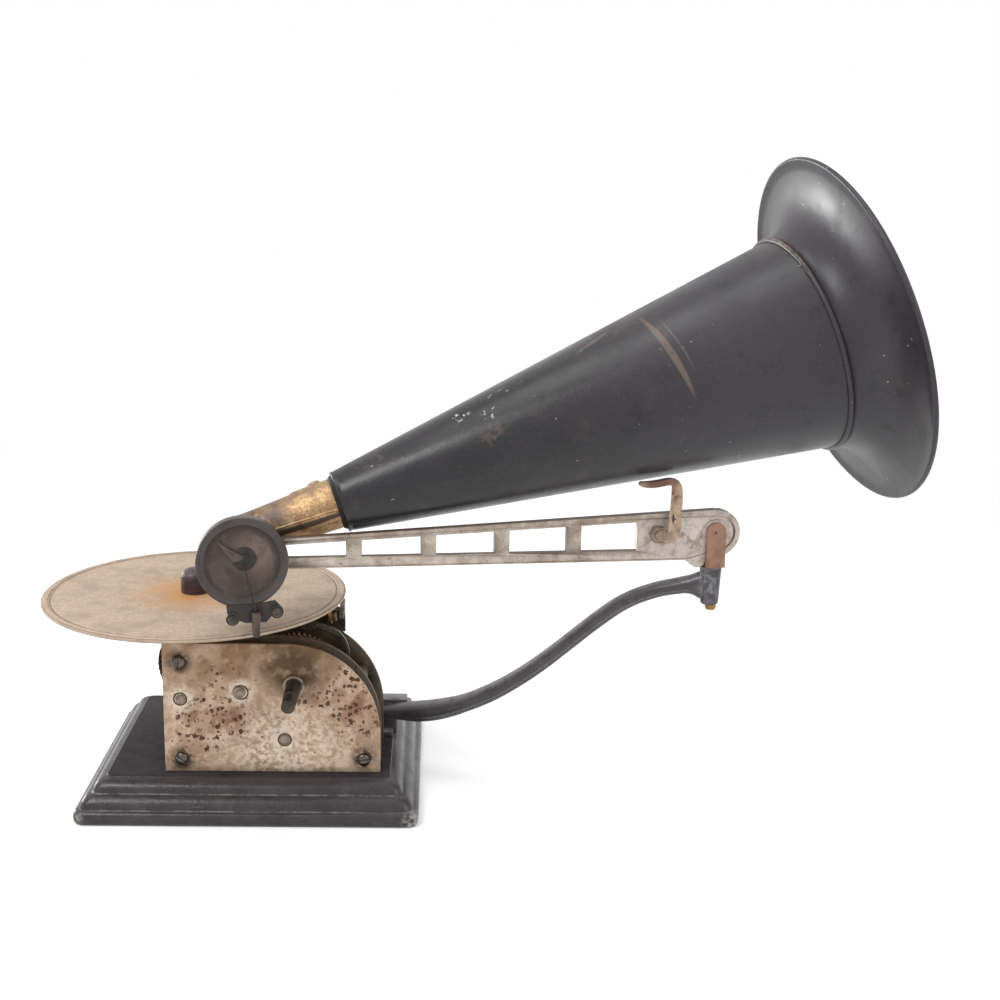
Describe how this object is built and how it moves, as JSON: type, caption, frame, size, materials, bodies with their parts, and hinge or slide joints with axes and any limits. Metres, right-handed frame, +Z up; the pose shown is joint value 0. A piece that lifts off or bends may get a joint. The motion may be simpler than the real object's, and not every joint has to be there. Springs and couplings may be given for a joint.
{
  "type": "disc gramophone",
  "caption": "Early open-works disc gramophone: stepped cast base, spring motor between plates, turntable, S-shaped carrying arm, ladder arm, sound box and flared black horn.",
  "frame": {"origin": "centre of the base's underside, in the plane it stands on", "axes": "+Z up, +X to the side the horn points to, +Y away from the winding side"},
  "size_m": [0.5003, 0.2042, 0.3824],
  "materials": {
    "black_iron": "satin black enamel on cast iron",
    "black_sheet": "satin black enamel on sheet iron",
    "nickel_plate": "worn nickel plate with rust stains",
    "stained_steel": "bare steel, browned",
    "dark_steel": "dark browned steel",
    "spring_steel": "blue-grey spring steel",
    "brass": "dull brass",
    "neck_brass": "mottled worn brass",
    "dark_wheel": "dark iron",
    "grey_aluminium": "dull cast aluminium",
    "rusty_strip": "rust-brown strip steel",
    "box_metal": "dark grey-brown lacquer",
    "box_plate": "dulled grey-brown metal",
    "clamp_metal": "dark purplish brown",
    "rubber": "black rubber",
    "leather": "brown leather"
  },
  "bodies": {
    "base": {"base_casting": "black_iron", "base_bolts": "dark_steel", "plate_front": "nickel_plate", "plate_middle": "stained_steel", "plate_rear": "nickel_plate", "front_pillars": "stained_steel", "rear_pillars": "stained_steel", "foot_bars": "stained_steel", "plate_screws": "dark_steel", "bushes": "dark_steel", "top_bridge": "stained_steel", "step_bearing": "brass", "step_screws": "dark_steel", "governor_bracket": "stained_steel", "s_arm": "black_iron", "click_spring": "spring_steel", "lever_stud": "dark_steel"},
    "winding": {"winding_arbor": "dark_steel", "ratchet_wheel": "dark_steel"},
    "pawl": {"pawl": "dark_steel"},
    "barrel": {"spring_barrel": "dark_steel", "great_wheel": "brass", "mainspring": "spring_steel"},
    "second": {"second_arbor": "dark_steel", "second_wheel": "brass"},
    "crown": {"crown_arbor": "dark_steel", "crown_wheel": "dark_wheel"},
    "turntable": {"spindle": "stained_steel", "spindle_pinion": "brass", "worm_wheel": "brass", "turntable": "nickel_plate", "turntable_hub": "stained_steel"},
    "clamp": {"record_clamp": "clamp_metal"},
    "governor": {"governor_shaft": "stained_steel", "governor_worm": "stained_steel", "governor_disc": "brass", "governor_weights": "brass", "governor_springs": "spring_steel"},
    "lever": {"speed_lever": "spring_steel", "brake_pad": "leather"},
    "swivel": {"clevis": "rusty_strip", "swivel_stud": "brass", "cross_pin": "dark_steel"},
    "arm": {"ladder_arm": "grey_aluminium", "hook_bolt": "dark_steel", "horn_hook": "rusty_strip", "brass_neck": "neck_brass"},
    "horn": {"horn_cone": "black_sheet", "horn_bell": "black_sheet"},
    "sound_box": {"soundbox_cup": "box_metal", "soundbox_ring": "box_metal", "rubber_rings": "rubber", "diaphragm": "box_plate", "diaphragm_washer": "box_metal", "diaphragm_vane": "box_plate", "stylus_bar": "box_plate", "needle_chuck": "dark_steel", "pivot_bracket": "box_metal", "bracket_screws": "dark_steel"}
  },
  "joints": [
    {"name": "turntable_spin", "type": "hinge", "parent": "base", "child": "turntable", "pos_m": [-0.033, -0.032, 0.1278], "axis": [0, 0, 1], "continuous": true},
    {"name": "crown_spin", "type": "hinge", "parent": "base", "child": "crown", "pos_m": [-0.033, -0.022, 0.08], "axis": [0, 1, 0], "continuous": true},
    {"name": "second_spin", "type": "hinge", "parent": "base", "child": "second", "pos_m": [-0.00521, -0.022, 0.0737], "axis": [0, 1, 0], "continuous": true},
    {"name": "barrel_spin", "type": "hinge", "parent": "base", "child": "barrel", "pos_m": [0.02702, -0.022, 0.0779], "axis": [0, 1, 0], "continuous": true},
    {"name": "governor_spin", "type": "hinge", "parent": "base", "child": "governor", "pos_m": [0, -0.0178, 0.1123], "axis": [1, 0, 0], "continuous": true},
    {"name": "winding_turn", "type": "hinge", "parent": "base", "child": "winding", "pos_m": [0.02702, -0.05, 0.0779], "axis": [0, 1, 0], "continuous": true},
    {"name": "pawl_swing", "type": "hinge", "parent": "base", "child": "pawl", "pos_m": [0.02132, -0.048, 0.0444], "axis": [0, 1, 0], "range_deg": [-6, 0], "stiffness_Nm_per_rad": 0.005, "springref_deg": 17.19},
    {"name": "clamp_lift", "type": "slide", "parent": "turntable", "child": "clamp", "axis": [0, 0, 1], "range_m": [0, 0.03]},
    {"name": "speed_lever_swing", "type": "hinge", "parent": "base", "child": "lever", "pos_m": [0.0532, -0.0258, 0.0833], "axis": [0, 1, 0], "range_deg": [0, 5]},
    {"name": "arm_swing", "type": "hinge", "parent": "base", "child": "swivel", "pos_m": [0.2688, -0.0525, 0.14], "axis": [0, 0, 1], "range_deg": [-14, 35]},
    {"name": "arm_lift", "type": "hinge", "parent": "swivel", "child": "arm", "pos_m": [0.2688, -0.0525, 0.1715], "axis": [-0.1822, 0.9833, 0], "range_deg": [0, 25]},
    {"name": "horn_pull", "type": "slide", "parent": "arm", "child": "horn", "axis": [0.938, 0.1738, 0.2999], "range_m": [0, 0.05]},
    {"name": "sound_box_turn", "type": "hinge", "parent": "arm", "child": "sound_box", "pos_m": [0.00522, -0.10644, 0.1691], "axis": [-0.1822, 0.9833, 0], "range_deg": [0, 100]}
  ],
  "couplings": [
    {"joint": "crown_spin", "follows": "turntable_spin", "ratio": -0.25},
    {"joint": "second_spin", "follows": "turntable_spin", "ratio": 0.073864},
    {"joint": "barrel_spin", "follows": "turntable_spin", "ratio": -0.022159},
    {"joint": "governor_spin", "follows": "turntable_spin", "ratio": 24}
  ]
}
